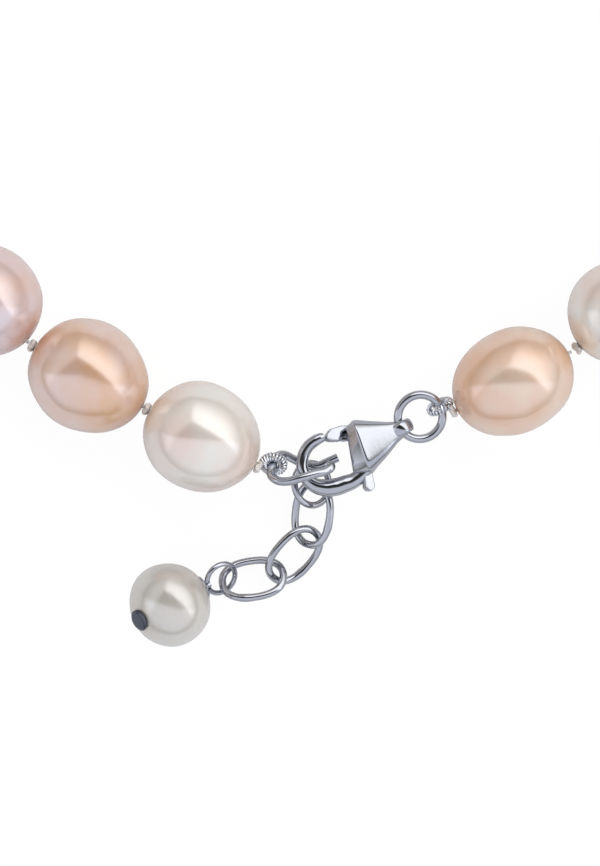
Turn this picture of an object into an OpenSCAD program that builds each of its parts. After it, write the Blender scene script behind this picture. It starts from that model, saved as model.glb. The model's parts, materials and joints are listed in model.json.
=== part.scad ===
// Knotted freshwater pearl necklace with a lobster clasp and an extension chain.
// The clasped loop lies flat on a table: Z is up, and the clasp is at the low end of Y.

/* [Strand] */
// Number of pearls on the strand
pearl_count = 41; // [31:2:41]
// Usual length of a pearl along its drill hole
pearl_length = 9.25; // [6:0.05:12]
// Usual diameter of a pearl across its drill hole
pearl_width = 8.35; // [5.5:0.05:11]
// Largest random change of a pearl's length
length_spread = 0.35; // [0:0.05:0.6]
// Largest random change of a pearl's diameter
width_spread = 0.2; // [0:0.05:0.4]
// How much fatter one end of a pearl is than the other
egg_shape = 0.07; // [0:0.01:0.12]
// Diameter of the drill hole
drill_d = 0.8; // [0.6:0.05:1.2]
// Diameter of the silk thread
thread_d = 0.4; // [0.2:0.05:0.5]
// Diameter of a knot between two pearls
knot_d = 0.52; // [0.4:0.02:0.8]
// Room left for a knot between two pearls
knot_gap = 0.56; // [0.5:0.02:1]

/* [Thread guards] */
// Radius of the loop of French wire, to the middle of its coil
gimp_loop_r = 0.76; // [0.7:0.02:1.2]
// Diameter of the coil of French wire
gimp_d = 0.62; // [0.4:0.02:0.8]

/* [Jump rings] */
// Outside diameter of the round ring at the clasp's tail
right_ring_od = 4.22; // [3.8:0.02:5]
// Outside length of the oval ring in the clasp's hook
left_ring_length = 5.4; // [5:0.1:7]
// Outside width of the oval ring in the clasp's hook
left_ring_width = 4.2; // [4:0.1:5]
// Wire diameter of these two rings
ring_wire = 0.68; // [0.5:0.02:0.72]
// Outside diameter of the small ring that holds the chain
chain_ring_od = 3.9; // [3.6:0.1:4.4]
// Wire diameter of the small ring
chain_ring_wire = 0.54; // [0.4:0.02:0.6]
// Width of the saw cut in a jump ring
ring_cut = 0.12; // [0.05:0.01:0.3]

/* [Clasp] */
// Radius of the hook, to the middle of its wire
hook_r = 2.04; // [1.9:0.02:2.4]
// Wire diameter of the hook
hook_wire = 0.94; // [0.7:0.02:1]
// Thickness of the clasp's body
body_thickness = 2.9; // [2.4:0.1:3.4]
// Largest diameter of the body, at its mouth
mouth_d = 4.1; // [3.8:0.1:4.4]
// Distance from the middle of the hook to the tail eye
tail_reach = 6.38; // [6.2:0.02:7.4]
// Thickness of the lever
lever_thickness = 0.9; // [0.6:0.05:1]
// Gap on each side of the lever
lever_gap = 0.08; // [0.05:0.01:0.12]
// Diameter of the lever's pin
pin_d = 0.6; // [0.4:0.02:0.7]

/* [Extension chain] */
// Outside length of a link
link_length = 5.5; // [5.2:0.1:6]
// Outside width of a link
link_width = 3.9; // [3.6:0.1:4.2]
// Wire diameter of a link
link_wire = 0.6; // [0.4:0.02:0.64]

/* [Drop] */
// Diameter of the drop pearl
drop_d = 6.7; // [5:0.1:8]
// Length of the drop pearl along its drill hole
drop_length = 6.15; // [5:0.05:7.5]
// Outside diameter of the head pin's eye
eye_od = 3.2; // [3:0.1:3.6]
// Wire diameter of the head pin
eye_wire = 0.48; // [0.36:0.02:0.56]
// Diameter of the head pin's flat head
head_d = 1.7; // [1:0.1:2.2]

/* [Hidden] */
$fn = 48;
PEARL_STEPS = 16;       // straight steps in half a pearl's outline
THREAD_SIDES = 8;       // flat sides around the thread
SEED = 7;               // seed of the random pearl sizes

function dir(a) = [cos(a), sin(a)];
function total(list) = [for (item = list) 1] * list;

// --- Clasp, laid out from the middle of its hook ---
clasp_angle = 27;       // heading of the clasp's body, from hook to tail
strand_z = 4.4 * pearl_width / 8.35;
clasp_z = strand_z - 0.6;
mouth_x = 2.0;          // front of the body's mouth
hook_tip_angle = 84;
hook_root_angle = 290;
hook_swell = 0.3;       // extra diameter where the hook runs into the body
pivot = [3.33, 0.75];   // lever pin, from the middle of the hook
slot = lever_thickness + 2 * lever_gap;
tail_hole_r = ring_wire / 2 + 0.24;
tail_r = tail_hole_r + 0.42;
tail_width = 1.1;
tail_eye = tail_reach * dir(clasp_angle);

// --- Rings and gimps around the clasp ---
ring_r = (right_ring_od - ring_wire) / 2;
gimp_out = gimp_loop_r + gimp_d / 2;
gimp_to_knot = gimp_out + knot_gap / 2;
right_ring_heading = 28;
right_ring_centre = tail_eye + ring_r * dir(clasp_angle);
right_gimp_centre = right_ring_centre + ring_r * dir(right_ring_heading);
left_ring_angle = -5;
left_ring_tilt = -70;
left_ring_a = (left_ring_length - ring_wire) / 2;
left_ring_b = (left_ring_width - ring_wire) / 2;
left_ring_centre = [-1.95, -0.22];
left_gimp_centre = left_ring_centre - left_ring_a * dir(left_ring_angle);
left_end = left_gimp_centre + gimp_to_knot * dir(188);
right_end = right_gimp_centre + gimp_to_knot * dir(-12);

// --- Pearl sizes: [number from the left end, length, width] where chosen by hand ---
chosen_sizes = [[1, 9.4, 8.55], [2, 9.7, 8.75], [3, 9.2, 8.5],
                [pearl_count - 1, 8.8, 8.15], [pearl_count, 9.95, 8.2]];
length_noise = rands(-1, 1, pearl_count, SEED);
width_noise = rands(-1, 1, pearl_count, SEED + 1);
function chosen(i) = [for (row = chosen_sizes) if (row[0] == i) row];
function pearl_l(i) = len(chosen(i)) > 0
    ? chosen(i)[0][1] * pearl_length / 9.25
    : pearl_length + length_spread * length_noise[i - 1];
function pearl_w(i) = len(chosen(i)) > 0
    ? chosen(i)[0][2] * pearl_width / 8.35
    : pearl_width + width_spread * width_noise[i - 1];
function egg(i) = i <= 2 ? -egg_shape : egg_shape * sign(length_noise[i - 1]);
function step_l(i) = pearl_l(i) + knot_gap;

// --- Strand: one straight step for each pearl, from the left end round to the right end ---
left_headings = [152, 151, 134];
right_headings = [-140, -153];
first_free = len(left_headings) + 1;
last_free = pearl_count - len(right_headings);
// a widens or narrows the loop, and c leans it, until it closes on the right end
function free_heading(i, a, c) =
    let (t = (i - first_free + 1) / (last_free - first_free + 2))
    134 - 274 * t + a * sin(360 * t) + c * (1 - cos(360 * t));
function heading(i, a, c) =
    i < first_free ? left_headings[i - 1]
    : i > last_free ? right_headings[i - last_free - 1]
    : free_heading(i, a, c);
function miss(a, c) =
    left_end + total([for (i = [1 : pearl_count]) step_l(i) * dir(heading(i, a, c))]) - right_end;
function close_loop(a, c, tries) =
    tries == 0 ? [a, c]
    : let (m = miss(a, c), ma = miss(a + 0.01, c) - m, mc = miss(a, c + 0.01) - m,
           det = ma.x * mc.y - mc.x * ma.y)
      close_loop(a - 0.01 * (m.x * mc.y - mc.x * m.y) / det,
                 c - 0.01 * (ma.x * m.y - m.x * ma.y) / det, tries - 1);
loop_shape = close_loop(5, 0, 8);
headings = [for (i = [1 : pearl_count]) heading(i, loop_shape[0], loop_shape[1])];
knots = [for (i = 0, p = left_end; i <= pearl_count;
              p = i < pearl_count ? p + step_l(i + 1) * dir(headings[i]) : p, i = i + 1) p];
centres = [for (i = [1 : pearl_count]) (knots[i - 1] + knots[i]) / 2];

// --- Extension chain and drop: [x, y, z] from the middle of the hook, heading, roll, pitch ---
chain_ring_at = [[-1.25, -1.65, 1.25], -87, -35, -4];
link_at = [[[-1.2, -4.05, 1.5], -97, 34, 8],
           [[-2.65, -7.3, 1.25], -132, -32, 2],
           [[-5.95, -9.2, 1.35], -172, 32, 0]];
drop_at = [-12.5, -11.1, drop_d / 2];
drop_heading = 26;
drop_pitch = 21;
eye_r = (eye_od - eye_wire) / 2;
eye_reach = drop_length / 2 + 0.6 + eye_r;

// --- Origin: middle of the whole piece on the table ---
left_x = min([for (c = centres) c.x]) - pearl_width / 2;
right_x = max([for (c = centres) c.x]) + pearl_width / 2;
top_y = max([for (c = centres) c.y]) + pearl_width / 2;
low_y = drop_at.y - drop_d / 2;
middle = [(left_x + right_x) / 2, (low_y + top_y) / 2, 0];

PEARLS = [for (i = [1 : pearl_count]) str("pearl_", i < 10 ? "0" : "", i)];
METAL = ["left_gimp", "right_gimp", "left_ring", "right_ring", "clasp_body", "clasp_lever",
         "clasp_pin", "clasp_spring", "chain_ring", "chain_link_1", "chain_link_2",
         "chain_link_3", "drop_pin", "drop_cap"];

// Moves a piece from the hook's frame to its place on the table
module laid(at, az = 0, roll = 0, pitch = 0)
    translate([at.x, at.y, len(at) > 2 ? at.z : clasp_z] - middle)
        rotate([roll, pitch, az]) children();

// An egg-shaped pearl with its drill hole along X
module drilled_pearl(length, width, fat)
    rotate([0, 90, 0])
        difference() {
            rotate_extrude($fn = 64)
                polygon([for (k = [0 : PEARL_STEPS])
                    let (a = 180 * k / PEARL_STEPS)
                    [width / 2 * sin(a) * (1 + fat * cos(a)), length / 2 * cos(a)]]);
            cylinder(d = drill_d, h = 2 * length, center = true);
        }

module pearl(i)
    color(["ivory", "lavenderblush", "peachpuff"][i % 3])
        translate([centres[i - 1].x, centres[i - 1].y, strand_z] - middle)
            rotate([0, 0, headings[i - 1]])
                drilled_pearl(pearl_l(i), pearl_w(i), egg(i));

// Silk thread through every pearl, with a knot at each end of each pearl:
// three rings of points at each knot, joined straight through the drill holes
function knot_rings(k) =
    let (before = headings[max(k - 1, 0)], after = headings[min(k, pearl_count - 1)],
         reach = knot_d / 2)
    [[knots[k] - reach * dir(before), before, thread_d / 2],
     [knots[k], (before + after) / 2, knot_d / 2],
     [knots[k] + reach * dir(after), after, thread_d / 2]];
thread_rings = [for (k = [0 : pearl_count]) each knot_rings(k)];
function ring_points(ring) =
    [for (side = [0 : THREAD_SIDES - 1])
        let (turn = 360 * side / THREAD_SIDES, across = ring[2] * cos(turn) * dir(ring[1] + 90))
        [ring[0].x + across.x, ring[0].y + across.y, strand_z + ring[2] * sin(turn)] - middle];

module thread() {
    last = len(thread_rings) - 1;
    color("white")
        polyhedron(
            points = [for (ring = thread_rings) each ring_points(ring)],
            faces = concat(
                [[for (side = [0 : THREAD_SIDES - 1]) side]],
                [for (k = [0 : last - 1]) for (side = [0 : THREAD_SIDES - 1])
                    let (here = k * THREAD_SIDES, next = (side + 1) % THREAD_SIDES)
                    [here + side, here + THREAD_SIDES + side, here + THREAD_SIDES + next, here + next]],
                [[for (side = [THREAD_SIDES - 1 : -1 : 0]) last * THREAD_SIDES + side]]));
}

// A round ring in the XY plane, with a saw cut at the given angle
module round_ring(r, wire, cut_angle)
    rotate([0, 0, cut_angle])
        difference() {
            rotate_extrude() translate([r, 0]) circle(d = wire);
            translate([r, 0, 0]) cube([2 * wire, ring_cut, 2 * wire], center = true);
        }

// An oval of wire in the XY plane, long along X: two arcs joined by straights
module oval(length, width, wire) {
    arc_r = (width - wire) / 2;
    straight = length - width;
    for (side = [-1, 1]) {
        translate([side * straight / 2, 0, 0]) rotate([0, 0, side > 0 ? -90 : 90])
            rotate_extrude(angle = 180) translate([arc_r, 0]) circle(d = wire);
        translate([0, side * arc_r, 0]) rotate([0, 90, 0])
            cylinder(d = wire, h = straight, center = true);
    }
}

// A loop of French wire in the XZ plane
module gimp()
    color("silver")
        rotate([90, 0, 0]) rotate_extrude() translate([gimp_loop_r, 0]) circle(d = gimp_d);

module left_gimp() laid(left_gimp_centre, left_ring_angle, left_ring_tilt + 20) gimp();
module right_gimp() laid(right_gimp_centre, right_ring_heading, 20) gimp();

module left_ring()
    laid(left_ring_centre, left_ring_angle, left_ring_tilt)
        color("silver") oval(left_ring_length, left_ring_width, ring_wire);

module right_ring()
    laid(right_ring_centre, clasp_angle, 12)
        color("silver") round_ring(ring_r, ring_wire, 80);

// --- Clasp ---
module clasp() laid([0, 0, clasp_z], clasp_angle) children();

module clasp_shell()
    intersection() {
        rotate([0, 90, 0])
            rotate_extrude()
                polygon([[0, mouth_x], [mouth_d / 2 - 0.1, mouth_x], [mouth_d / 2, mouth_x + 0.4],
                         [mouth_d / 2, mouth_x + 0.8], [0.88 * mouth_d / 2, mouth_x + 1.6],
                         [0.64 * mouth_d / 2, mouth_x + 2.6], [0.5 * mouth_d / 2, tail_reach - 1.15],
                         [0.4, tail_reach - 0.7], [0, tail_reach - 0.7]]);
        cube([4 * tail_reach, 2 * mouth_d, body_thickness], center = true);
    }

module hook() {
    root = hook_r * dir(hook_root_angle - 4);
    rotate([0, 0, hook_tip_angle])
        rotate_extrude(angle = hook_root_angle - hook_tip_angle)
            translate([hook_r, 0]) circle(d = hook_wire);
    translate([root.x, root.y, 0]) rotate([0, 90, 8])
        cylinder(d = hook_wire + hook_swell, h = 2.2);
}

module tail()
    translate([tail_reach, 0, 0]) rotate([90, 0, 0])
        cylinder(r = tail_r, h = tail_width, center = true);

module lever_slot()
    linear_extrude(slot, center = true)
        polygon([[mouth_x - 0.6, 3], [3.25, 3], [3.25, 1.5], [3.95, 1.25], [5, 0.6], [5, -0.4],
                 [4.85, -0.5], [4.85, -4], [mouth_x - 0.4, -4], [mouth_x + 0.02, -1.4],
                 [mouth_x + 0.02, -0.75], [mouth_x - 0.6, -0.75]]);

module clasp_body()
    color("silver") clasp()
        difference() {
            union() {
                clasp_shell();
                hook();
                tail();
            }
            lever_slot();
            translate([tail_reach, 0, 0]) rotate([90, 0, 0])
                cylinder(r = tail_hole_r, h = 4 * tail_width, center = true);
            translate([pivot.x, pivot.y, 0])
                cylinder(d = pin_d, h = body_thickness - 0.66, center = true);
        }

// A bar with round ends from one point to another
module bar(from, to, r) {
    run = to - from;
    translate([from.x, from.y]) circle(r);
    translate([to.x, to.y]) circle(r);
    translate([from.x, from.y]) rotate(atan2(run.y, run.x))
        translate([0, -r]) square([norm(run), 2 * r]);
}

module clasp_lever()
    color("silver") clasp()
        linear_extrude(lever_thickness, center = true)
            difference() {
                union() {
                    bar([1.12, 2.02], [2.4, 1.55], 0.36);
                    bar([2.4, 1.55], pivot, 0.38);
                    translate(pivot) circle(0.52);
                    bar(pivot, [2.6, -1.8], 0.4);
                    bar([2.6, -1.8], [2.15, -2.95], 0.42);
                }
                translate(pivot) circle(d = pin_d + 0.1);
            }

module clasp_pin()
    color("gray") clasp() translate([pivot.x, pivot.y, 0])
        cylinder(d = pin_d, h = body_thickness - 0.7, center = true);

// Small coil with one leg against the back of the lever
module clasp_spring()
    color("gray") clasp() translate([4.6, 0.1, 0])
        union() {
            difference() {
                cylinder(r = 0.34, h = lever_thickness - 0.1, center = true);
                cylinder(r = 0.2, h = lever_thickness, center = true);
            }
            translate([-0.26, 0.1, 0]) rotate([0, -90, -30]) cylinder(d = 0.14, h = 0.42);
        }

// --- Extension chain and drop ---
module chain_ring()
    laid(chain_ring_at[0], chain_ring_at[1], chain_ring_at[2], chain_ring_at[3])
        color("silver")
            round_ring((chain_ring_od - chain_ring_wire) / 2, chain_ring_wire, 60);

module chain_link(n)
    let (place = link_at[n - 1])
        laid(place[0], place[1], place[2], place[3])
            color("silver") oval(link_length, link_width, link_wire);

// The drop's own frame: its pearl's middle, with X along the pin towards the eye
module drop() laid(drop_at, drop_heading, 0, drop_pitch) children();

module drop_pearl() color("ivory") drop() drilled_pearl(drop_length, drop_d, 0);

module drop_pin()
    color("silver") drop()
        union() {
            translate([eye_reach, 0, 0]) rotate([35, 0, 0])
                rotate_extrude() translate([eye_r, 0]) circle(d = eye_wire);
            rotate([0, 90, 0]) translate([0, 0, -drop_length / 2 - 0.1])
                cylinder(d = eye_wire, h = drop_length / 2 + eye_reach - eye_r + 0.1);
            translate([-drop_length / 2 - 0.02, 0, 0]) rotate([0, -90, 0])
                cylinder(d = head_d, h = 0.35);
        }

module drop_cap()
    color("silver") drop() translate([drop_length / 2 + 0.02, 0, 0]) rotate([0, 90, 0])
        difference() {
            cylinder(r = 0.6, h = 0.22);
            translate([0, 0, -1]) cylinder(d = eye_wire + 0.06, h = 2);
        }

for (i = [1 : pearl_count])
    pearl(i);
thread();
drop_pearl();
left_gimp();
right_gimp();
left_ring();
right_ring();
clasp_body();
clasp_lever();
clasp_pin();
clasp_spring();
chain_ring();
chain_link(1);  // chain_link_1
chain_link(2);  // chain_link_2
chain_link(3);  // chain_link_3
drop_pin();
drop_cap();
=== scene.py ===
import json
import math
import random

import bpy
from mathutils import Euler, Matrix, Vector


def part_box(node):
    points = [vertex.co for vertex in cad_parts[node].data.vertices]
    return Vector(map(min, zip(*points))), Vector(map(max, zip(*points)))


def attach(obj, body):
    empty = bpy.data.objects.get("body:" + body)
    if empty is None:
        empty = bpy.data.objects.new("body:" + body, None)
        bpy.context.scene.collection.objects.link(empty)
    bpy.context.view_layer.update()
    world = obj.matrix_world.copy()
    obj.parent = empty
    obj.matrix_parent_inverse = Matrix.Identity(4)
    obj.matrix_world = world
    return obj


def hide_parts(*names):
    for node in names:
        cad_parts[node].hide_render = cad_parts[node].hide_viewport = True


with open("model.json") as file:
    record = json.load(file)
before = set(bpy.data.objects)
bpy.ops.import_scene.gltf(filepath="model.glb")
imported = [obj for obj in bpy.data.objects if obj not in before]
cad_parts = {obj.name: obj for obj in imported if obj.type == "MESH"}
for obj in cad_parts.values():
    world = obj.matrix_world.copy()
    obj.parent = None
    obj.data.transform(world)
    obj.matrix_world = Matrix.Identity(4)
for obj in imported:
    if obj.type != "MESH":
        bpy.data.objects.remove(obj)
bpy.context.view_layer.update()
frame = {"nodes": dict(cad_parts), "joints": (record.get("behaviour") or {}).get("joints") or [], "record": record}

bl_info = {
    "name": "Knotted Pearl Necklace",
    "version": (1, 0, 0),
    "blender": (4, 5, 0),
    "location": "3D View > Sidebar > Necklace",
    "description": "Builds the looks of a knotted freshwater pearl necklace with a lobster clasp",
    "category": "Object",
}

MM = 0.001
NODES = frame["nodes"]
JOINTS = {joint["name"]: joint for joint in frame["joints"]}
PEARL_COUNT = sum(name.startswith("pearl_") for name in NODES)
MIDDLE_PEARL = (PEARL_COUNT + 1) // 2

# Nacre colours: the body of the pearl, its overtone, and the deeper tone round the drill holes
TONES = {
    "pearl_white": ("#EFD7C8", "#EFEBE0", "#E8CEA8"),
    "pearl_white.drop": ("#CBC3B6", "#D3D0C6", "#C9BBA4"),
    "pearl_lilac": ("#E4B8A4", "#E0CFD2", "#E0A280"),
    "pearl_peach": ("#E2AE7E", "#E6C6B8", "#E0A064"),
    "pearl_apricot": ("#EAB48A", "#EFD2B8", "#E8A062"),
}


# --- Reading the frame, in millimetres ---
def joint_place(name):
    return Vector(JOINTS[name]["pos_m"]) / MM


def node_middle(name):
    low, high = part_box(name)
    return (Vector(low) + Vector(high)) / 2 / MM


def heading(degrees):
    return Vector((math.cos(math.radians(degrees)), math.sin(math.radians(degrees)), 0))


def slot_of(node_name):
    rows = frame["record"]["subparts"]
    return next(row["material_slot"] for row in rows if row["node"] == node_name)


def knot_place(number):
    name = "strand_flex" if number == MIDDLE_PEARL else f"knot_{number:02d}"
    return joint_place(name)


# The two end pearls have a knot joint on one side only, so their headings are given
END_HEADINGS = {1: 152, PEARL_COUNT: -153}
# These pearls sit a little along the silk from the middle of their room
SHIFTS = {1: -0.2, 2: -0.2, PEARL_COUNT: 0.42}


class PearlPlace:
    """Where one strand pearl sits: its middle, heading, length, width and fatter end."""

    def __init__(self, number):
        self.number = number
        self.name = f"pearl_{number:02d}"
        if number in END_HEADINGS:
            self.along = heading(END_HEADINGS[number])
        else:
            self.along = (knot_place(number) - knot_place(number - 1)).normalized()
        across = Vector((-self.along.y, self.along.x, 0))
        points = [vertex.co / MM for vertex in NODES[self.name].data.vertices]
        runs = [point.dot(self.along) for point in points]
        sides = [point.dot(across) for point in points]
        heights = [point.z for point in points]
        self.length = max(runs) - min(runs)
        self.width = max(sides) - min(sides)
        middle_run = (max(runs) + min(runs)) / 2
        self.middle = self.along * middle_run + across * (max(sides) + min(sides)) / 2
        self.middle.z = (max(heights) + min(heights)) / 2
        self.middle += SHIFTS.get(number, 0) * self.along
        self.fat = math.copysign(1, runs[sides.index(max(sides))] - middle_run)

    def matrix(self):
        turn = Vector((0, 0, 1)).rotation_difference(self.along).to_matrix().to_4x4()
        return Matrix.Translation(self.middle) @ turn


PEARLS = [PearlPlace(number) for number in range(1, PEARL_COUNT + 1)]

# The clasp's own frame: the middle of its hook, with X towards its tail
CLASP_HEADING = 27
CLASP_REACH = 6.38
HOOK_MIDDLE = joint_place("clasp_swing") - CLASP_REACH * heading(CLASP_HEADING)


# --- Small tools for modelling ---
def deselect():
    bpy.ops.object.select_all(action="DESELECT")


def picked(piece):
    deselect()
    piece.select_set(True)
    bpy.context.view_layer.objects.active = piece


def new_piece():
    return bpy.context.view_layer.objects.active


def moved(piece, matrix):
    """Moves and turns a piece's mesh, and leaves its object at the origin."""
    piece.matrix_world = matrix
    picked(piece)
    bpy.ops.object.transform_apply(location=True, rotation=True, scale=True)
    return piece


def choose(piece, test):
    """Goes into edit mode with only the faces whose middle passes the test."""
    picked(piece)
    bpy.ops.object.mode_set(mode="EDIT")
    bpy.ops.mesh.select_mode(type="FACE")
    bpy.ops.mesh.select_all(action="DESELECT")
    bpy.ops.object.mode_set(mode="OBJECT")
    for face in piece.data.polygons:
        face.select = test(face.center)
    bpy.ops.object.mode_set(mode="EDIT")


def done_editing():
    bpy.ops.object.mode_set(mode="OBJECT")


def modify(piece, kind, **settings):
    """Adds one modifier and applies it."""
    picked(piece)
    modifier = piece.modifiers.new(kind.title(), kind)
    for name, value in settings.items():
        setattr(modifier, name, value)
    bpy.ops.object.modifier_apply(modifier=modifier.name)


def placed(at, az=0.0, roll=0.0, pitch=0.0):
    """The same move as the part's own laid(): turned, then put at a point, in millimetres."""
    turn = Euler((math.radians(roll), math.radians(pitch), math.radians(az))).to_matrix()
    return Matrix.Translation(at) @ turn.to_4x4()


def clasp_matrix(point=(0, 0, 0)):
    return placed(HOOK_MIDDLE, CLASP_HEADING) @ Matrix.Translation(point)


def finish_piece(piece, name, matrix, body, material, stands_for=(), smooth=40):
    """Puts a piece made in millimetres in its place in the row frame, and gives it its facts."""
    piece.name = piece.data.name = name
    moved(piece, Matrix.Scale(MM, 4) @ matrix @ piece.matrix_basis)
    bpy.ops.object.shade_smooth_by_angle(angle=math.radians(smooth))
    piece.data.materials.clear()
    piece.data.materials.append(MATERIALS[material]())
    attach(piece, body)
    if stands_for:
        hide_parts(*stands_for)


def duplicate(piece, name):
    copy = piece.copy()
    copy.data = piece.data.copy()
    copy.name = name
    bpy.context.scene.collection.objects.link(copy)
    return copy


def joined(pieces):
    deselect()
    for piece in pieces:
        piece.select_set(True)
    bpy.context.view_layer.objects.active = pieces[0]
    if len(pieces) > 1:
        bpy.ops.object.join()
    return pieces[0]


def wire(points, thickness, closed=False, sides=6, steps=8, radii=None):
    """A round wire along a smooth curve through the points, in millimetres, with flat ends."""
    curve = bpy.data.curves.new("wire", "CURVE")
    curve.dimensions = "3D"
    curve.bevel_depth = thickness / 2
    curve.bevel_resolution = sides // 2
    curve.resolution_u = steps
    curve.use_fill_caps = not closed
    spline = curve.splines.new("BEZIER")
    spline.bezier_points.add(len(points) - 1)
    for index, point in enumerate(points):
        spot = spline.bezier_points[index]
        spot.co = point
        spot.handle_left_type = spot.handle_right_type = "AUTO"
        spot.radius = radii[index] if radii else 1
    spline.use_cyclic_u = closed
    piece = bpy.data.objects.new("wire", curve)
    bpy.context.scene.collection.objects.link(piece)
    picked(piece)
    bpy.ops.object.convert(target="MESH")
    return new_piece()


# --- Materials ---
def linear(hex_colour):
    values = [int(hex_colour[i:i + 2], 16) / 255 for i in (1, 3, 5)]
    return [v / 12.92 if v <= 0.04045 else ((v + 0.055) / 1.055) ** 2.4 for v in values] + [1]


def add(tree, kind, inputs=None, stops=None, **settings):
    """Adds one shader node, with its settings, colour stops and inputs: a socket or a constant."""
    made = tree.nodes.new("ShaderNode" + kind)
    for name, value in settings.items():
        setattr(made, name, value)
    for place, value in (inputs or {}).items():
        if isinstance(value, bpy.types.NodeSocket):
            tree.links.new(value, made.inputs[place])
        else:
            made.inputs[place].default_value = value
    if stops:
        ramp = made.color_ramp
        for index, (position, tone) in enumerate(stops):
            stop = ramp.elements[index] if index < 2 else ramp.elements.new(position)
            stop.position, stop.color = position, tone
    return made


def fresh_material(name):
    """A new material with an empty node tree."""
    made = bpy.data.materials.new(name)
    made.use_nodes = True
    made.node_tree.nodes.clear()
    return made, made.node_tree


def per_mm(size):
    """Noise scale for features of this size in millimetres."""
    return 1 / (size * MM)


def output(tree, shader):
    add(tree, "OutputMaterial", {"Surface": shader.outputs[0]})


def nacre(slot, name):
    """Freshwater nacre: stacked aragonite plates all the way in, tumbled smooth. The plates
    give a milky body, a soft mirror layer over it and a faint pink-green shimmer."""
    if name in bpy.data.materials:
        return bpy.data.materials[name]
    body, overtone, deep = (linear(tone) for tone in TONES[slot])
    made, tree = fresh_material(name)
    place = add(tree, "TexCoord")
    along = add(tree, "SeparateXYZ", {"Vector": place.outputs["UV"]})
    clouds = add(tree, "TexNoise", {"Vector": place.outputs["Object"], "Scale": per_mm(5.0),
                                    "Detail": 3.0, "Roughness": 0.5})
    cloud_mix = add(tree, "MapRange", {"Value": clouds.outputs["Fac"], "From Min": 0.35,
                                       "From Max": 0.65})
    skin = add(tree, "Mix", {0: cloud_mix.outputs[0], 6: body, 7: overtone}, data_type="RGBA")
    ends = add(tree, "ValToRGB", {"Fac": along.outputs["Y"]},
               stops=[(0.06, (1, 1, 1, 1)), (0.24, (0, 0, 0, 1)), (0.78, (0, 0, 0, 1)),
                      (0.95, (1, 1, 1, 1))])
    speckle = add(tree, "TexNoise", {"Vector": place.outputs["Object"], "Scale": per_mm(1.6),
                                     "Detail": 4.0})
    end_tint = add(tree, "Math", {0: ends.outputs[0], 1: speckle.outputs["Fac"]},
                   operation="MULTIPLY")
    tinted = add(tree, "Mix", {0: end_tint.outputs[0], 6: skin.outputs[2], 7: deep},
                 data_type="RGBA")
    rings = add(tree, "TexWave", {"Vector": place.outputs["UV"], "Scale": 5.0,
                                  "Distortion": 2.5, "Detail": 1.0}, bands_direction="Y")
    ripple = add(tree, "TexNoise", {"Vector": place.outputs["Object"], "Scale": per_mm(2.2),
                                    "Detail": 3.0})
    relief = add(tree, "Mix", {0: 0.25, 2: ripple.outputs["Fac"], 3: rings.outputs["Fac"]},
                 data_type="FLOAT")
    bump = add(tree, "Bump", {"Height": relief.outputs[0], "Strength": 0.12,
                              "Distance": 0.15 * MM})
    shader = add(tree, "BsdfPrincipled", {
        "Base Color": tinted.outputs[2], "Roughness": 0.3, "IOR": 1.9, "Metallic": 0.1,
        "Coat Weight": 1.0, "Coat Roughness": 0.13, "Coat IOR": 2.3,
        "Subsurface Weight": 0.1, "Subsurface Radius": (1.0, 0.75, 0.6),
        "Subsurface Scale": 0.6 * MM,
        "Normal": bump.outputs[0]})
    output(tree, shader)
    return made


def silver(name="rhodium_plated_silver", rough=0.08, tone="#A9ACB4", worn="#C0C2C8"):
    """Sterling silver with a rhodium plate, tumbled and polished: a cool, fairly dark mirror
    with hairline scratches from handling."""
    if name in bpy.data.materials:
        return bpy.data.materials[name]
    made, tree = fresh_material(name)
    place = add(tree, "TexCoord")
    smears = add(tree, "TexNoise", {"Vector": place.outputs["Object"], "Scale": per_mm(1.5),
                                    "Detail": 4.0})
    gloss = add(tree, "MapRange", {"Value": smears.outputs["Fac"], "From Min": 0.3,
                                   "From Max": 0.7, "To Min": 0.6 * rough, "To Max": 1.5 * rough})
    grain = add(tree, "TexNoise", {"Vector": place.outputs["Object"], "Scale": per_mm(0.35),
                                   "Detail": 3.0})
    bump = add(tree, "Bump", {"Height": grain.outputs["Fac"], "Strength": 0.08,
                              "Distance": 0.03 * MM})
    tint = add(tree, "Mix", {0: smears.outputs["Fac"], 6: linear(tone), 7: linear(worn)},
               data_type="RGBA")
    shader = add(tree, "BsdfPrincipled", {
        "Base Color": tint.outputs[2], "Metallic": 1.0, "Roughness": gloss.outputs[0],
        "Normal": bump.outputs[0]})
    output(tree, shader)
    return made


def dark_steel():
    """Spring steel, drawn and blued: a dark satin metal, seen only deep in the clasp."""
    return silver("blued_spring_steel", 0.3, "#5A5D64", "#6E7178")


def french_wire():
    """French wire: a hair-fine silver-plated copper coil, bright with deep gaps between turns."""
    return silver("silver_french_wire", 0.14, "#DCDFE4", "#E6E8EC")


def silk():
    """Twisted silk beading cord: two plies, off-white, with a dull satin sheen. Its colour is painted darker in
    the grooves between the plies, as painted shade.
    """
    if "twisted_silk_cord" in bpy.data.materials:
        return bpy.data.materials["twisted_silk_cord"]
    made, tree = fresh_material("twisted_silk_cord")
    place = add(tree, "TexCoord")
    plies = add(tree, "TexWave", {"Vector": place.outputs["Object"], "Scale": per_mm(1.2),
                                  "Distortion": 1.5}, bands_direction="DIAGONAL")
    # Painted shade: the tone follows the same wave as the bump, darker in the grooves between the plies and
    # lighter on their ridges.
    tone = add(tree, "Mix", {0: plies.outputs["Fac"], 6: linear("#DDD8D1"),
                             7: linear("#F7F4EF")}, data_type="RGBA")
    bump = add(tree, "Bump", {"Height": plies.outputs["Fac"], "Strength": 0.4,
                              "Distance": 0.05 * MM})
    shader = add(tree, "BsdfPrincipled", {
        "Base Color": tone.outputs[2], "Roughness": 0.55, "Sheen Weight": 0.3,
        "Sheen Roughness": 0.4, "Normal": bump.outputs[0]})
    output(tree, shader)
    return made


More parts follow.
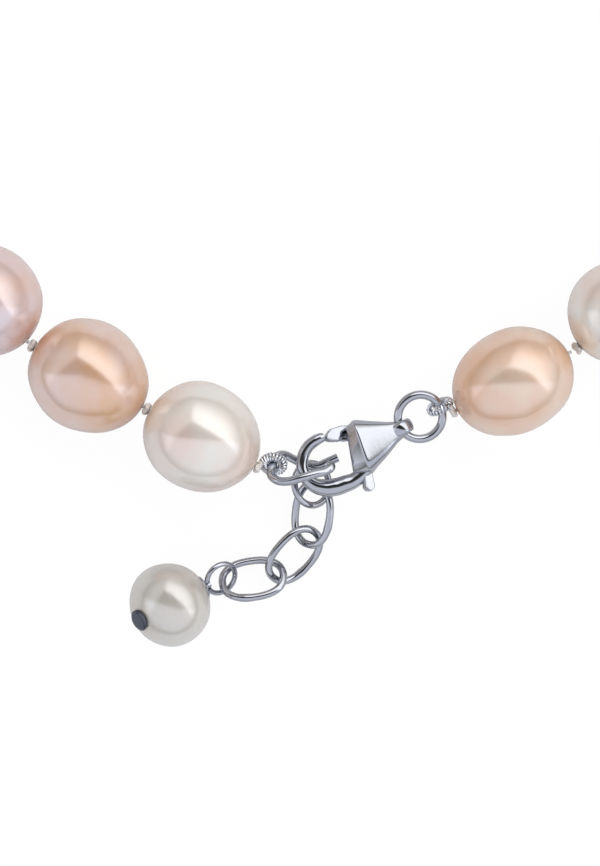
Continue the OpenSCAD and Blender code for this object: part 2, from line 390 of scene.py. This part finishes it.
MATERIALS = {
    "pearl_white": lambda: nacre("pearl_white", "white_nacre"),
    "pearl_white.drop": lambda: nacre("pearl_white.drop", "cream_nacre"),
    "pearl_lilac": lambda: nacre("pearl_lilac", "lilac_nacre"),
    "pearl_peach": lambda: nacre("pearl_peach", "peach_nacre"),
    "pearl_apricot": lambda: nacre("pearl_apricot", "apricot_nacre"),
    "silver_plate": silver,
    # A darker copy of the plated silver, used for the pin head.
    "silver_plate.dark": lambda: silver("tarnished_silver", 0.2, "#4C505C", "#63676F"),
    "french_wire": french_wire,
    "spring_steel": dark_steel,
    "silk": silk,
}


# --- Sizes and colours that a user would change ---
class NecklaceStrand(bpy.types.PropertyGroup):
    """Sizes of the pearls' surface, the thread and its knots, in millimetres."""
    dents: bpy.props.FloatProperty(
        name="Dents", description="Depth of the shallow dents in a pearl", default=0.26, min=0)
    dent_size: bpy.props.FloatProperty(
        name="Dent Size", description="Distance between dents in a pearl", default=4.2, min=1)
    egg: bpy.props.FloatProperty(
        name="Egg Shape", description="How much fatter one end of a pearl is", default=0.07)
    thread_d: bpy.props.FloatProperty(
        name="Thread", description="Diameter of the silk thread", default=0.36, min=0.1)
    knot_across: bpy.props.FloatProperty(
        name="Knot Width", description="Width of a knot across the thread", default=1.18, min=0.4)
    knot_gap: bpy.props.FloatProperty(
        name="Knot Gap", description="Room between two pearls", default=0.56, min=0.3)


class NecklaceRings(bpy.types.PropertyGroup):
    """Wire sizes of the rings, the links and the French wire, in millimetres."""
    ring_wire: bpy.props.FloatProperty(
        name="Ring Wire", description="Wire diameter of the two jump rings", default=0.68)
    small_wire: bpy.props.FloatProperty(
        name="Small Ring Wire", description="Wire diameter of the chain's ring", default=0.54)
    link_wire: bpy.props.FloatProperty(
        name="Link Wire", description="Wire diameter of a chain link", default=0.6)
    saw_cut: bpy.props.FloatProperty(
        name="Saw Cut", description="Width of the cut in a jump ring", default=0.1)
    coil_d: bpy.props.FloatProperty(
        name="French Wire", description="Outside diameter of the coil", default=0.76)
    coil_wire: bpy.props.FloatProperty(
        name="Coil Wire", description="Diameter of the wire in the coil", default=0.17)
    coil_turns: bpy.props.IntProperty(
        name="Coil Turns", description="Turns of the coil round one loop", default=24)


class NecklaceStage(bpy.types.PropertyGroup):
    """Brightness of the studio and the place of the camera."""
    key: bpy.props.FloatProperty(
        name="Key", description="Brightness of the large light", default=2.1)
    fill: bpy.props.FloatProperty(
        name="Fill", description="Brightness of the light opposite", default=1.08)
    base: bpy.props.FloatProperty(
        name="Room", description="Brightness of the unlit room", default=0.05)
    walls: bpy.props.FloatProperty(
        name="Walls", description="Brightness of the room low down", default=0.3)
    lens: bpy.props.FloatProperty(
        name="Lens", description="Focal length of the camera in mm", default=100)
    view_height: bpy.props.FloatProperty(
        name="View Height", description="Height of the picture on the table", default=67.92)


# --- Strand ---
def drilled_sphere():
    """A unit pearl with its drill hole along Z: the two pole caps are opened and joined."""
    deselect()
    bpy.ops.mesh.primitive_uv_sphere_add(segments=64, ring_count=32, radius=1)
    piece = new_piece()
    cap = math.cos(math.pi / 32) - 1e-4
    choose(piece, lambda point: abs(point.z) > cap)
    bpy.ops.mesh.delete(type="FACE")
    bpy.ops.mesh.select_mode(type="EDGE")
    bpy.ops.mesh.select_all(action="DESELECT")
    bpy.ops.mesh.select_non_manifold()
    bpy.ops.mesh.bridge_edge_loops()
    bpy.ops.mesh.select_all(action="SELECT")
    bpy.ops.mesh.normals_make_consistent(inside=False)
    done_editing()
    return piece


def shaped_pearl(master, name, matrix, size, egg, dents, dent_size):
    """One pearl: an egg of this width and length, then shallow dents of its own."""
    piece = duplicate(master, name)
    modify(piece, "SIMPLE_DEFORM", deform_method="TAPER", deform_axis="Z", factor=egg)
    moved(piece, matrix @ Matrix.Diagonal((size[0] / 2, size[0] / 2, size[1] / 2, 1)))
    dimples = bpy.data.textures.new(name, "CLOUDS")
    dimples.noise_scale = dent_size
    dimples.noise_depth = 1
    modify(piece, "DISPLACE", texture=dimples, strength=dents, mid_level=0.5,
           texture_coords="LOCAL")
    return piece


class NECKLACE_OT_pearls(bpy.types.Operator):
    """Make the strand's pearls, each an egg with shallow dents and a drill hole"""
    bl_idname = "necklace.pearls"
    bl_label = "Pearls"

    def execute(self, context):
        facts = context.scene.necklace_strand
        master = drilled_sphere()
        for pearl in PEARLS:
            piece = shaped_pearl(master, pearl.name, pearl.matrix(), (pearl.width, pearl.length),
                                 facts.egg * pearl.fat, facts.dents, facts.dent_size)
            finish_piece(piece, f"nacre_{pearl.number:02d}", Matrix(), pearl.name,
                         slot_of(pearl.name), [pearl.name])
        bpy.data.objects.remove(master)
        return {"FINISHED"}


def trefoil(across, depth, thread_d):
    """The path of an overhand knot, tied round Z."""
    reach = (across - thread_d) / 6
    lift = (depth - thread_d) / 2
    return [Vector((reach * (math.sin(t) + 2 * math.sin(2 * t)),
                    reach * (math.cos(t) - 2 * math.cos(2 * t)), -lift * math.sin(3 * t)))
            for t in (math.tau * step / 18 for step in range(18))]


def thread_run(matrix, length, thread_d):
    """A straight run of thread through a pearl, of two plies twisted together."""
    plies = []
    for side in (0, math.pi):
        points = [Vector((0.22 * thread_d * math.cos(side + 2 * math.pi * step / 6),
                          0.22 * thread_d * math.sin(side + 2 * math.pi * step / 6),
                          length * (step / 12 - 0.5))) for step in range(13)]
        plies.append(wire(points, 0.56 * thread_d, sides=4, steps=1))
    return moved(joined(plies), matrix)


class NECKLACE_OT_thread(bpy.types.Operator):
    """Thread every pearl on twisted silk, with a knot on each side of it"""
    bl_idname = "necklace.thread"
    bl_label = "Silk Thread"

    def execute(self, context):
        facts = context.scene.necklace_strand
        spin = random.Random(11)
        knot_depth = facts.knot_gap - 0.04
        knot_wire = 1.05 * facts.thread_d
        knot = wire(trefoil(facts.knot_across, knot_depth, knot_wire), knot_wire,
                    closed=True, sides=4, steps=2)
        for pearl in PEARLS:
            reach = (pearl.length + facts.knot_gap) / 2
            ends = [1] if pearl.number > 1 else [-1, 1]
            parts = [thread_run(pearl.matrix(), 2 * reach, facts.thread_d)]
            for end in ends:
                place = (pearl.matrix() @ Matrix.Translation((0, 0, end * reach))
                         @ Matrix.Rotation(spin.uniform(0, math.tau), 4, "Z"))
                parts.append(moved(duplicate(knot, "tied"), place))
            finish_piece(joined(parts), f"silk_{pearl.number:02d}", Matrix(), pearl.name,
                         "silk", ["thread"], smooth=60)
        bpy.data.objects.remove(knot)
        return {"FINISHED"}


# --- Rings and French wire ---
COIL_LOOP_RADIUS = 0.76
ROUND_RING_RADIUS = 1.77
SMALL_RING_RADIUS = 1.68
LINK_LENGTH = 5.5
LINK_WIDTH = 3.9
# Where a link is soldered, in degrees round it, and how much thicker its wire is there
SEAM_ANGLE = 75
SEAM_SWELL = 1.12


def french_coil(loop_r, coil_d, coil_wire, turns, seed):
    """A coil of fine wire bent into a loop round Z, a little crushed."""
    crush = random.Random(seed)
    coil_r = (coil_d - coil_wire) / 2
    points = []
    steps = 10
    for step in range(turns * steps):
        around = math.tau * step / (turns * steps)
        twist = math.tau * step / steps
        here = coil_r * (1 + crush.uniform(-0.1, 0.1))
        out = loop_r + here * math.cos(twist)
        points.append(Vector((out * math.cos(around), out * math.sin(around),
                              here * math.sin(twist))))
    return wire(points, coil_wire, closed=True, sides=4, steps=2)


class NECKLACE_OT_french_wire(bpy.types.Operator):
    """Bend a coil of French wire into the loop that guards the thread at each end"""
    bl_idname = "necklace.french_wire"
    bl_label = "French Wire"

    def execute(self, context):
        facts = context.scene.necklace_rings
        # Each end: its node, how it lies (az, roll), the pearl it rides on, and its seed
        ends = [("left_gimp", -5, -50, PEARLS[0].name, 3),
                ("right_gimp", 28, 20, PEARLS[-1].name, 5)]
        for node, az, roll, body, seed in ends:
            coil = french_coil(COIL_LOOP_RADIUS, facts.coil_d, facts.coil_wire,
                               facts.coil_turns, seed)
            upright = Matrix.Rotation(math.radians(90), 4, "X")
            finish_piece(coil, node.replace("gimp", "french_wire"),
                         placed(node_middle(node), az, roll) @ upright, body, "french_wire",
                         [node])
        return {"FINISHED"}


def round_ring(radius, thickness, cut, cut_angle):
    """A ring of round wire with a saw cut."""
    deselect()
    bpy.ops.mesh.primitive_torus_add(major_radius=radius, minor_radius=thickness / 2,
                                     major_segments=72, minor_segments=18)
    ring = new_piece()
    deselect()
    bpy.ops.mesh.primitive_cube_add(size=1, location=radius * heading(cut_angle),
                                    rotation=(0, 0, math.radians(cut_angle)),
                                    scale=(2 * thickness, cut, 2 * thickness))
    blade = new_piece()
    modify(ring, "BOOLEAN", object=blade, operation="DIFFERENCE", solver="EXACT")
    bpy.data.objects.remove(blade)
    return ring


def oval_ring(length, width, thickness):
    """An oval of round wire, long along X, with a soldered seam."""
    a, b = (length - thickness) / 2, (width - thickness) / 2
    count = 24

    def fuller(value):
        """Pushes the oval out a little between its ends and its sides."""
        return math.copysign(abs(value) ** 0.86, value)

    points = [Vector((a * fuller(math.cos(math.tau * k / count)),
                      b * fuller(math.sin(math.tau * k / count)), 0)) for k in range(count)]
    radii = [1.0] * count
    radii[round(SEAM_ANGLE / 360 * count)] = SEAM_SWELL
    return wire(points, thickness, closed=True, sides=14, steps=4, radii=radii)


class NECKLACE_OT_rings(bpy.types.Operator):
    """Make the jump rings that join the strand, the clasp and the chain"""
    bl_idname = "necklace.rings"
    bl_label = "Jump Rings"

    def execute(self, context):
        facts = context.scene.necklace_rings
        wire_d = facts.ring_wire
        # The left ring is pulled open: its wire runs under the hook, round the French wire
        # and back over the hook. The spots are counted from the middle of the hook.
        spots = [(0.8, 0.5, -1.25), (0.0, 0.14, -1.25), (-0.9, -0.2, -1.3),
                 (-1.9, -0.02, -1.48), (-2.8, 0.4, -1.26), (-3.55, 0.72, -0.95),
                 (-4.1, 0.5, -0.5), (-4.34, -0.1, 0.05), (-4.5, -0.75, 0.5),
                 (-4.1, -1.22, 0.95), (-3.3, -1.36, 1.3), (-2.2, -1.1, 1.54),
                 (-1.0, -0.75, 1.4), (-0.1, -0.5, 1.1), (0.25, -0.2, 0.9), (-0.05, 0.0, 0.7)]
        oval = wire(spots, wire_d, sides=16, steps=6)
        finish_piece(oval, "oval_jump_ring", placed(HOOK_MIDDLE), "left_ring", "silver_plate",
                     ["left_ring"])
        ring = round_ring(ROUND_RING_RADIUS, wire_d, facts.saw_cut, 172)
        lay = placed(node_middle("right_ring"), CLASP_HEADING, 12)
        finish_piece(ring, "round_jump_ring", lay, "right_ring", "silver_plate",
                     ["right_ring"])
        small = round_ring(SMALL_RING_RADIUS, facts.small_wire, facts.saw_cut, 60)
        lay = placed(node_middle("chain_ring"), -87, -35, -4)
        finish_piece(small, "small_jump_ring", lay, "chain_ring", "silver_plate",
                     ["chain_ring"])
        return {"FINISHED"}


class NECKLACE_OT_chain(bpy.types.Operator):
    """Make the three oval links of the extension chain"""
    bl_idname = "necklace.chain"
    bl_label = "Extension Chain"

    def execute(self, context):
        facts = context.scene.necklace_rings
        # How each link lies: az, roll, pitch
        lays = [(-97, 34, 8), (-132, -32, 2), (-172, 32, 0)]
        for number, (az, roll, pitch) in enumerate(lays, start=1):
            node = f"chain_link_{number}"
            link = oval_ring(LINK_LENGTH, LINK_WIDTH, facts.link_wire)
            finish_piece(link, f"oval_link_{number}", placed(node_middle(node), az, roll, pitch),
                         node, "silver_plate", [node])
        return {"FINISHED"}


# --- Drop ---
def turned(rings, sides=32):
    """A round solid turned about Z: each ring is a height and a radius."""
    deselect()
    (height, radius), rest = rings[0], rings[1:]
    bpy.ops.mesh.primitive_circle_add(vertices=sides, radius=radius, fill_type="NGON",
                                      location=(0, 0, height))
    piece = new_piece()
    bpy.ops.object.transform_apply()
    bpy.ops.object.mode_set(mode="EDIT")
    bpy.ops.mesh.select_all(action="SELECT")
    for next_height, next_radius in rest:
        bpy.ops.mesh.extrude_region_move(
            TRANSFORM_OT_translate={"value": (0, 0, next_height - height)})
        bpy.ops.transform.resize(value=(next_radius / radius, next_radius / radius, 1),
                                 center_override=(0, 0, next_height))
        height, radius = next_height, next_radius
    bpy.ops.mesh.select_all(action="SELECT")
    bpy.ops.mesh.normals_make_consistent(inside=False)
    done_editing()
    return piece


# The drop's own frame: the middle of its pearl, with X along the pin towards the eye
DROP_MATRIX = placed(joint_place("drop_spin"), 26, 0, 21)
DROP_LENGTH = 6.15
DROP_WIDTH = 6.7
ALONG_X = Matrix.Rotation(math.radians(90), 4, "Y")
STEM_RADIUS = 0.24
EYE_RADIUS = 1.28
EYE_WIRE = 0.42
# From the pearl's end to the near side of the eye
EYE_LIFT = 0.43
# The eye's wire stops short of a full turn, and is turned about the stem
EYE_START = math.pi + 0.25
EYE_SWEEP = math.tau - 0.5
EYE_ROLL = 35
HEAD_TILT = 17


class NECKLACE_OT_drop(bpy.types.Operator):
    """Make the drop: a button pearl on a head pin with a turned eye"""
    bl_idname = "necklace.drop"
    bl_label = "Drop"

    def execute(self, context):
        facts = context.scene.necklace_strand
        master = drilled_sphere()
        pearl = shaped_pearl(master, "drop", DROP_MATRIX @ ALONG_X, (DROP_WIDTH, DROP_LENGTH),
                             0, facts.dents, facts.dent_size)
        bpy.data.objects.remove(master)
        finish_piece(pearl, "drop_nacre", Matrix(), "drop_pearl", "pearl_white.drop",
                     ["drop_pearl"])

        centre = Vector((DROP_LENGTH / 2 + EYE_LIFT + EYE_RADIUS, 0, 0))
        angles = [math.degrees(EYE_START + k / 20 * EYE_SWEEP) for k in range(21)]
        eye = moved(wire([centre + EYE_RADIUS * heading(angle) for angle in angles], EYE_WIRE,
                         sides=14, steps=4), Matrix.Rotation(math.radians(EYE_ROLL), 4, "X"))
        far_end = Matrix.Translation((-DROP_LENGTH / 2, 0, 0))
        stem = moved(turned([(-0.1, STEM_RADIUS), (DROP_LENGTH + 0.7, STEM_RADIUS)]),
                     far_end @ ALONG_X)
        finish_piece(joined([eye, stem]), "head_pin", DROP_MATRIX, "drop_pin",
                     "silver_plate", ["drop_pin"])
        disc = turned([(-0.1, 0.7), (-0.08, 0.82), (0.0, 0.87), (0.14, 0.86), (0.22, 0.76),
                       (0.24, 0.6)])
        moved(disc, Matrix.Rotation(math.radians(HEAD_TILT), 4, "Y")
              @ Matrix.Translation((-DROP_LENGTH / 2 - 0.02, 0, 0)) @ ALONG_X.inverted())
        finish_piece(disc, "pin_head", DROP_MATRIX, "drop_pin", "silver_plate.dark")
        cap = turned([(0.0, 0.95), (0.1, 1.0), (0.2, 0.95), (0.34, 0.6), (0.46, 0.4),
                      (0.52, 0.32)])
        moved(cap, Matrix.Translation((DROP_LENGTH / 2 - 0.1, 0, 0)) @ ALONG_X)
        finish_piece(cap, "bead_cap", DROP_MATRIX, "drop_pin", "silver_plate", ["drop_cap"])
        return {"FINISHED"}


# --- Clasp, in its own frame: X from the middle of the hook to the tail ---
def rounded_section(half_width, half_height, rounding, x):
    """A rounded rectangle across X, filled, ready to be drawn out along X."""
    deselect()
    bpy.ops.mesh.primitive_plane_add(size=2, rotation=(0, math.radians(90), 0))
    piece = new_piece()
    bpy.ops.object.transform_apply()
    moved(piece, Matrix.Translation((x, 0, 0)) @ Matrix.Diagonal((1, half_width, half_height, 1)))
    bpy.ops.object.mode_set(mode="EDIT")
    bpy.ops.mesh.select_mode(type="VERT")
    bpy.ops.mesh.select_all(action="SELECT")
    bpy.ops.mesh.bevel(offset=rounding, segments=5, affect="VERTICES")
    bpy.ops.mesh.select_all(action="SELECT")
    return piece


def draw_out(stations, rounding):
    """A body drawn out along X: each station is x, the middle y, half width, half height, lean."""
    x, y, wide, high, lean = stations[0]
    piece = rounded_section(wide, high, rounding, x)
    bpy.ops.transform.translate(value=(0, y, 0))
    for next_x, next_y, next_wide, next_high, next_lean in stations[1:]:
        bpy.ops.mesh.extrude_region_move(
            TRANSFORM_OT_translate={"value": (next_x - x, next_y - y, 0)})
        centre = (next_x, next_y, 0)
        if next_lean != lean:
            bpy.ops.transform.rotate(value=math.radians(next_lean - lean), orient_axis="Z",
                                     center_override=centre)
        bpy.ops.transform.resize(value=(1, next_wide / wide, next_high / high),
                                 center_override=centre)
        x, y, wide, high, lean = next_x, next_y, next_wide, next_high, next_lean
    bpy.ops.mesh.select_all(action="SELECT")
    bpy.ops.mesh.normals_make_consistent(inside=False)
    done_editing()
    return piece


def plate(outline, thickness, rounding):
    """A flat plate in the XY plane with rounded edges, from its outline."""
    curve = bpy.data.curves.new("plate", "CURVE")
    curve.dimensions = "2D"
    curve.fill_mode = "BOTH"
    curve.extrude = thickness / 2 - rounding
    curve.bevel_depth = rounding
    curve.bevel_resolution = 3
    curve.offset = -rounding
    spline = curve.splines.new("POLY")
    spline.points.add(len(outline) - 1)
    for point, (x, y) in zip(spline.points, outline):
        point.co = (x, y, 0, 1)
    spline.use_cyclic_u = True
    piece = bpy.data.objects.new("plate", curve)
    bpy.context.scene.collection.objects.link(piece)
    picked(piece)
    bpy.ops.object.convert(target="MESH")
    piece = new_piece()
    modify(piece, "WELD", merge_threshold=0.005)
    return piece


def arc(centre, radius, start, end, steps):
    return [(centre[0] + radius * math.cos(math.radians(start + (end - start) * k / steps)),
             centre[1] + radius * math.sin(math.radians(start + (end - start) * k / steps)))
            for k in range(steps + 1)]


PIVOT = (3.33, 0.75)
HOOK_WIRE = 0.94
# The hook's wire is a little flatter than it is wide
HOOK_FLATNESS = 0.88
# The gate and the thumb tab lean to the tail, about the hook's middle and about this X
GATE_LEAN = 19
TAB_LEAN = 18
TAB_LEAN_X = 2.5


class NECKLACE_OT_clasp(bpy.types.Operator):
    """Make the lobster clasp: its hollow body, hook, tail eye, lever, pin and spring"""
    bl_idname = "necklace.clasp"
    bl_label = "Lobster Clasp"

    def hook(self):
        """The hook: angle, radius and width at each spot, then a root inside the shell."""
        spots = [(71, 2.14, 0.64), (78, 2.12, 0.8), (92, 2.08, 0.9), (115, 2.06, 0.93),
                 (145, 2.03, 0.94), (175, 2.02, 0.98), (205, 1.98, 1.14), (235, 1.9, 1.36),
                 (262, 1.92, 1.42), (285, 2.1, 1.36), (300, 2.42, 1.24)]
        points = [radius * heading(angle) for angle, radius, _ in spots]
        radii = [width / HOOK_WIRE for _, _, width in spots]
        points += [Vector((2.2, -1.9, 0)), Vector((3.6, -1.42, 0)), Vector((5.4, -0.62, 0))]
        radii += [1.2, 0.9, 0.5]
        piece = wire(points, HOOK_WIRE, sides=20, steps=10, radii=radii)
        return moved(piece, Matrix.Diagonal((1, 1, HOOK_FLATNESS, 1)))

    def shell(self):
        """The body from the tail to its open mouth, and back inside its walls."""
        body = draw_out([(6.95, -0.16, 0.5, 0.42, 0), (6.85, -0.16, 0.58, 0.5, 0),
                         (6.1, -0.15, 0.74, 0.7, 2), (5.5, -0.1, 0.98, 0.86, 4),
                         (4.8, -0.11, 1.38, 1.04, 7), (4.0, -0.08, 1.78, 1.25, 11),
                         (3.3, -0.02, 2.14, 1.44, 14), (3.06, 0.02, 2.18, 1.52, 15),
                         (2.98, 0.04, 2.18, 1.53, 15), (2.9, 0.05, 2.16, 1.5, 15),
                         (2.74, 0.09, 2.07, 1.34, 16),
                         (2.16, 0.14, 1.9, 0.84, 19), (1.96, 0.16, 1.8, 0.66, 21),
                         (2.02, 0.16, 1.62, 0.56, 21), (2.9, 0.16, 1.3, 0.5, 21)], 0.26)
        modify(body, "SUBSURF", levels=2, render_levels=2)
        return body

    def tail(self):
        deselect()
        bpy.ops.mesh.primitive_torus_add(major_radius=0.79, minor_radius=0.21,
                                         major_segments=48, minor_segments=16,
                                         rotation=(math.radians(90), 0, 0))
        eye = new_piece()
        return moved(eye, Matrix.Translation((CLASP_REACH, -0.14, 0))
                     @ Matrix.Diagonal((1, 2.5, 1, 1)) @ eye.matrix_world)

    def slotted(self, piece):
        """Cuts the slot that the lever's thumb tab comes out of."""
        deselect()
        bpy.ops.mesh.primitive_cube_add(size=1, location=(3.4, -2.4, 0), scale=(2.4, 3.0, 1.06))
        blade = new_piece()
        modify(piece, "BOOLEAN", object=blade, operation="DIFFERENCE", solver="EXACT")
        bpy.data.objects.remove(blade)
        return piece

    def execute(self, context):
        parts = [self.hook(), self.slotted(self.shell()), self.tail()]
        finish_piece(joined(parts), "clasp_shell_and_hook", clasp_matrix(), "clasp",
                     "silver_plate", ["clasp_body"])

        gate = plate([(0.62, 1.82), (0.95, 2.14), (1.45, 2.36), (2.3, 2.22), (2.9, 1.95),
                      (3.5, 1.2), (3.2, 0.9), (2.4, 0.98), (1.6, 1.2), (0.95, 1.5)], 0.86, 0.1)
        moved(gate, Matrix.Rotation(math.radians(GATE_LEAN), 4, "Y"))
        catch = plate([(1.75, 1.02), (2.3, 0.85), (2.4, 1.25), (1.85, 1.4)], 0.4, 0.06)
        arm = plate(arc(PIVOT, 0.52, -30, 210, 12) + [(2.1, -1.9)]
                    + arc((2.05, -2.98), 0.45, 170, 340, 10) + [(2.75, -2.2)], 0.6, 0.08)
        moved(arm, Matrix.Translation((TAB_LEAN_X, 0, 0))
              @ Matrix.Rotation(math.radians(TAB_LEAN), 4, "Y")
              @ Matrix.Translation((-TAB_LEAN_X, 0, 0)))
        finish_piece(joined([gate, catch, arm]), "clasp_lever_and_thumb_tab", clasp_matrix(),
                     "clasp_lever", "silver_plate", ["clasp_lever"])

        pin = turned([(-1.1, 0.24), (-1.04, 0.3), (1.04, 0.3), (1.1, 0.24)])
        finish_piece(pin, "lever_pin", clasp_matrix((PIVOT[0], PIVOT[1], 0)), "clasp",
                     "spring_steel", ["clasp_pin"])
        turns = 4
        coil = [Vector((0.28 * math.cos(t), 0.28 * math.sin(t), 0.62 * t / (math.tau * turns)
                        - 0.31)) for t in (math.tau * k / 8 for k in range(8 * turns + 1))]
        coil += [Vector((0.1, 0.34, 0.34)), Vector((-0.4, 0.3, 0.34))]
        finish_piece(wire(coil, 0.14, sides=8, steps=3), "lever_spring",
                     clasp_matrix((4.6, 0.1, 0)), "clasp", "spring_steel", ["clasp_spring"])
        return {"FINISHED"}


# --- Stage ---
SENSOR = 36
# From the middle of the hook to the middle of the view, and the height it is sized at
AIM_OFFSET = Vector((-2.196, 2.431, 0))
AIM_HEIGHT = 4.4


def studio_world(stage):
    """A dim studio with a large light at the upper right, a weak one at the upper left and a
    wide one at the bottom. The walls have their own tone, which fades into the ceiling's."""
    world = bpy.data.worlds.new("studio")
    bpy.context.scene.world = world
    world.use_nodes = True
    tree = world.node_tree
    tree.nodes.clear()
    sky = add(tree, "TexCoord")
    parts = add(tree, "SeparateXYZ", {0: sky.outputs["Generated"]})
    up = add(tree, "Math", {0: parts.outputs["Z"], 1: 0.03}, operation="MAXIMUM")
    east = add(tree, "Math", {0: parts.outputs["X"], 1: up.outputs[0]}, operation="DIVIDE")
    north = add(tree, "Math", {0: parts.outputs["Y"], 1: up.outputs[0]}, operation="DIVIDE")

    def ceiling_edge(east_weight, north_weight, offset, softness):
        """1 beyond a straight edge on the ceiling, 0 before it."""
        first = add(tree, "Math", {0: east.outputs[0], 1: east_weight}, operation="MULTIPLY")
        both = add(tree, "Math", {0: north.outputs[0], 1: north_weight, 2: first.outputs[0]},
                   operation="MULTIPLY_ADD")
        edge = add(tree, "MapRange", {"Value": both.outputs[0], "From Min": offset - softness,
                                      "From Max": offset + softness},
                   interpolation_type="SMOOTHSTEP")
        return edge.outputs[0]

    def product(values):
        result = values[0]
        for value in values[1:]:
            result = add(tree, "Math", {0: result, 1: value}, operation="MULTIPLY").outputs[0]
        return result

    def above(top):
        """1 high up, fading to 0 at the horizon."""
        fade = add(tree, "MapRange", {"Value": parts.outputs["Z"], "From Min": 0.02,
                                      "From Max": top}, interpolation_type="SMOOTHSTEP")
        return fade.outputs[0]

    key = product([ceiling_edge(1, 0, -0.345, 0.08), ceiling_edge(0.58, 0.81, 0.43, 0.1),
                   above(0.75)])
    side = product([ceiling_edge(-1, 0, 0.345, 0.08), ceiling_edge(-0.65, 0.76, 0.8, 0.15),
                    above(0.6)])
    low = product([ceiling_edge(-0.12, -1, 0.1, 0.12), above(0.45)])
    key_light = add(tree, "Math", {0: key, 1: stage.key}, operation="MULTIPLY")
    side_light = add(tree, "Math", {0: side, 1: 0.35 * stage.key, 2: key_light.outputs[0]},
                     operation="MULTIPLY_ADD")
    all_light = add(tree, "Math", {0: low, 1: stage.fill, 2: side_light.outputs[0]},
                    operation="MULTIPLY_ADD")
    walls = add(tree, "MapRange", {"Value": parts.outputs["Z"], "From Min": 0.0,
                                   "From Max": 0.5, "To Min": stage.walls, "To Max": stage.base},
                interpolation_type="SMOOTHSTEP")
    level = add(tree, "Math", {0: all_light.outputs[0], 1: walls.outputs[0]}, operation="ADD")
    hue = add(tree, "Mix", {0: low, 6: linear("#F6F5F5"), 7: linear("#E7E9F3")},
              data_type="RGBA")
    studio = add(tree, "Background", {"Color": hue.outputs[2], "Strength": level.outputs[0]})
    white = add(tree, "Background", {"Color": (1, 1, 1, 1), "Strength": 1.0})
    path = add(tree, "LightPath")
    shown = add(tree, "MixShader", {0: path.outputs["Is Camera Ray"], 1: studio.outputs[0],
                                    2: white.outputs[0]})
    add(tree, "OutputWorld", {"Surface": shown.outputs[0]})


def white_floor():
    """Matt white card: it shows white, and keeps a faint shadow of the necklace."""
    made, tree = fresh_material("white_card")
    path = add(tree, "LightPath")
    seen = add(tree, "Math", {0: path.outputs["Is Camera Ray"],
                              1: path.outputs["Is Transmission Ray"]}, operation="MAXIMUM")
    card = add(tree, "BsdfDiffuse", {"Color": (0.88, 0.88, 0.88, 1)})
    glow = add(tree, "Emission", {"Color": (1, 1, 1, 1), "Strength": 1.04})
    mixed = add(tree, "MixShader", {0: 0.9, 1: card.outputs[0], 2: glow.outputs[0]})
    shown = add(tree, "MixShader", {0: seen.outputs[0], 1: card.outputs[0],
                                    2: mixed.outputs[0]})
    output(tree, shown)
    return made


class NECKLACE_OT_stage(bpy.types.Operator):
    """Lay the white card, light the studio and place the camera above the clasp"""
    bl_idname = "necklace.stage"
    bl_label = "Stage"

    def execute(self, context):
        stage = context.scene.necklace_stage
        studio_world(stage)
        deselect()
        bpy.ops.mesh.primitive_plane_add(size=6)
        card = new_piece()
        card.name = "white_card"
        card.data.materials.append(white_floor())

        distance = stage.view_height * stage.lens / SENSOR
        aim = HOOK_MIDDLE + AIM_OFFSET
        bpy.ops.object.camera_add(location=(aim.x * MM, aim.y * MM,
                                            (AIM_HEIGHT + distance) * MM))
        camera = new_piece()
        camera.data.lens = stage.lens
        camera.data.sensor_width = SENSOR
        camera.data.clip_start = 0.005
        context.scene.camera = camera
        context.scene.view_settings.view_transform = "Standard"
        return {"FINISHED"}


class NECKLACE_PT_panel(bpy.types.Panel):
    """Lists the necklace's steps and sizes in the sidebar"""
    bl_idname = "NECKLACE_PT_panel"
    bl_label = "Pearl Necklace"
    bl_space_type = "VIEW_3D"
    bl_region_type = "UI"
    bl_category = "Necklace"

    def draw(self, context):
        for step in STEPS:
            self.layout.operator(step.bl_idname)
        for name in GROUPS:
            facts = getattr(context.scene, name)
            for prop in facts.bl_rna.properties:
                if prop.identifier not in ("rna_type", "name"):
                    self.layout.prop(facts, prop.identifier)


GROUPS = {"necklace_strand": NecklaceStrand, "necklace_rings": NecklaceRings,
          "necklace_stage": NecklaceStage}
STEPS = (NECKLACE_OT_pearls, NECKLACE_OT_thread, NECKLACE_OT_french_wire, NECKLACE_OT_rings,
         NECKLACE_OT_chain, NECKLACE_OT_drop, NECKLACE_OT_clasp, NECKLACE_OT_stage)


def register():
    for kind in (*GROUPS.values(), *STEPS, NECKLACE_PT_panel):
        bpy.utils.register_class(kind)
    for name, group in GROUPS.items():
        setattr(bpy.types.Scene, name, bpy.props.PointerProperty(type=group))


def unregister():
    for name in GROUPS:
        delattr(bpy.types.Scene, name)
    for kind in (NECKLACE_PT_panel, *reversed(STEPS), *reversed(GROUPS.values())):
        bpy.utils.unregister_class(kind)


def main():
    register()
    bpy.ops.necklace.pearls()
    bpy.ops.necklace.thread()
    bpy.ops.necklace.french_wire()
    bpy.ops.necklace.rings()
    bpy.ops.necklace.chain()
    bpy.ops.necklace.drop()
    bpy.ops.necklace.clasp()
    bpy.ops.necklace.stage()


if __name__ == "__main__":
    main()
